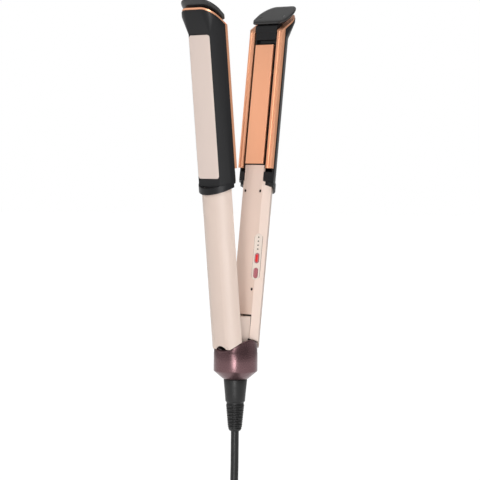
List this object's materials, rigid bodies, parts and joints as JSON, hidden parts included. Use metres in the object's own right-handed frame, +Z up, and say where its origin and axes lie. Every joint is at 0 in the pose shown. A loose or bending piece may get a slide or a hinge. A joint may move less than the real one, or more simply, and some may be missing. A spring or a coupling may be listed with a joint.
{
  "type": "hair straightener",
  "caption": "Corded hair straightener: sprung arms with floating copper plates on a collar hinge, buttons on the handle, and a tied cord with plug.",
  "frame": {"origin": "middle of the collar's full round wall, on its axis", "axes": "+Z up the tool from cord to tips, arms open along X, hinge pin along Y"},
  "size_m": [0.116, 0.038, 0.6683],
  "materials": {
    "plum_metal": "satin metallic plum",
    "black_plastic": "satin",
    "pink_shell": "soft satin",
    "pale_panel": "satin",
    "copper": "satin copper ceramic coating",
    "steel": "brushed",
    "black_rubber": "matte",
    "cord_jacket": "satin",
    "panel_white": "satin",
    "button_red": "gloss",
    "button_rose": "gloss",
    "light_guide": "gloss",
    "ceramic": "matte",
    "board_green": "satin",
    "plug_brass": "polished"
  },
  "bodies": {
    "base": {"collar": "plum_metal", "hinge_base": "black_plastic", "hinge_wedge": "pink_shell", "hinge_pin": "steel", "hinge_springs": "steel", "strain_relief": "black_rubber", "cord_tail": "cord_jacket", "cord_hank": "cord_jacket", "cord_tie": "black_rubber", "plug_body": "black_plastic", "plug_pins": "plug_brass"},
    "right_arm": {"right_arm_frame": "steel", "right_handle_shell": "pink_shell", "right_handle_cover": "pink_shell", "right_cover_screws": "black_plastic", "right_wire_loom": "cord_jacket", "right_jaw_shroud": "black_plastic", "right_back_panel": "pale_panel", "right_plate_carrier": "black_plastic", "right_side_bars": "copper", "right_tip_cap": "black_plastic", "right_plate_springs": "steel", "control_panel": "panel_white", "indicator_lights": "light_guide", "control_board": "board_green"},
    "left_arm": {"left_arm_frame": "steel", "left_handle_shell": "pink_shell", "left_handle_cover": "pink_shell", "left_cover_screws": "black_plastic", "left_wire_loom": "cord_jacket", "left_jaw_shroud": "black_plastic", "left_back_panel": "pale_panel", "left_plate_carrier": "black_plastic", "left_side_bars": "copper", "left_tip_cap": "black_plastic", "left_plate_springs": "steel"},
    "right_plate": {"right_centre_plate": "copper", "right_heater": "ceramic", "right_thermal_fuse": "steel"},
    "left_plate": {"left_centre_plate": "copper", "left_heater": "ceramic", "left_thermal_fuse": "steel"},
    "power_button": {"power_button": "button_red"},
    "heat_button": {"heat_button": "button_rose"}
  },
  "joints": [
    {"name": "right_hinge", "type": "hinge", "parent": "base", "child": "right_arm", "pos_m": [0, 0, -0.007], "axis": [0, -1, 0], "range_deg": [0, 6.38], "stiffness_Nm_per_rad": 0.6, "springref_deg": -34.38},
    {"name": "left_hinge", "type": "hinge", "parent": "base", "child": "left_arm", "pos_m": [0, 0, -0.007], "axis": [0, 1, 0], "range_deg": [0, 6.38], "stiffness_Nm_per_rad": 0.6, "springref_deg": -34.38},
    {"name": "right_plate_float", "type": "slide", "parent": "right_arm", "child": "right_plate", "axis": [0.9938, 0, -0.1115], "range_m": [0, 0.0006], "stiffness_N_per_m": 2000, "springref_m": -0.002},
    {"name": "left_plate_float", "type": "slide", "parent": "left_arm", "child": "left_plate", "axis": [-0.9938, 0, -0.1115], "range_m": [0, 0.0006], "stiffness_N_per_m": 2000, "springref_m": -0.002},
    {"name": "power_press", "type": "slide", "parent": "right_arm", "child": "power_button", "axis": [0.9181, 0.3827, -0.103], "range_m": [0, 0.0005], "stiffness_N_per_m": 500, "springref_m": -0.001},
    {"name": "heat_press", "type": "slide", "parent": "right_arm", "child": "heat_button", "axis": [0.9181, 0.3827, -0.103], "range_m": [0, 0.0005], "stiffness_N_per_m": 500, "springref_m": -0.001}
  ],
  "couplings": [
    {"joint": "left_hinge", "follows": "right_hinge", "ratio": 1}
  ]
}
